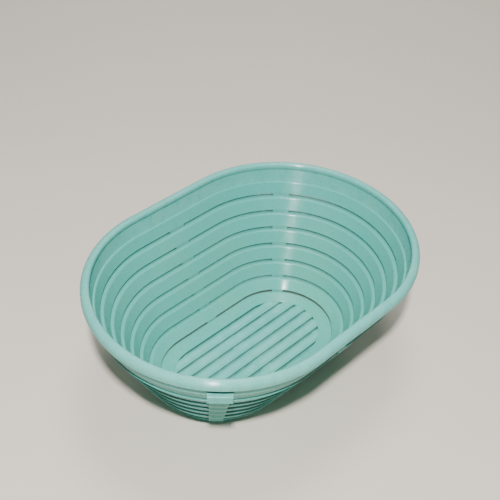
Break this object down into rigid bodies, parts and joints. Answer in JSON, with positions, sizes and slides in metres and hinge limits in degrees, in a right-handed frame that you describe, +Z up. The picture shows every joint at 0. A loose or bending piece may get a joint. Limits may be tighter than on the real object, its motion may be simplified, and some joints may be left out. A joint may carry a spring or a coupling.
{
  "type": "banneton basket",
  "caption": "Oval plastic proofing basket for bread dough, with a stepped, slotted sloping wall, a rolled rim, a slatted drained floor, outside ribs and two stacking lugs.",
  "frame": {"origin": "centre of the footprint, on the plane that the foot ring stands on", "axes": "+X along the long axis of the oval, +Y across it, +Z up and out of the mouth"},
  "size_m": [0.25, 0.1824, 0.0966],
  "materials": {
    "mint_plastic": "satin"
  },
  "bodies": {
    "root": {"rim": "mint_plastic", "collar": "mint_plastic", "wall_band_1": "mint_plastic", "wall_band_2": "mint_plastic", "wall_band_3": "mint_plastic", "wall_band_4": "mint_plastic", "wall_band_5": "mint_plastic", "wall_band_6": "mint_plastic", "wall_band_7": "mint_plastic", "base_ring": "mint_plastic", "floor_plate": "mint_plastic", "floor_slat_1": "mint_plastic", "floor_slat_2": "mint_plastic", "floor_slat_3": "mint_plastic", "floor_slat_4": "mint_plastic", "floor_slat_5": "mint_plastic", "floor_slat_6": "mint_plastic", "rib_side_back": "mint_plastic", "rib_side_front": "mint_plastic", "rib_right_back": "mint_plastic", "rib_right_front": "mint_plastic", "rib_left_back": "mint_plastic", "rib_left_front": "mint_plastic", "stacking_lug_right_back": "mint_plastic", "stacking_lug_left_front": "mint_plastic"}
  },
  "joints": []
}
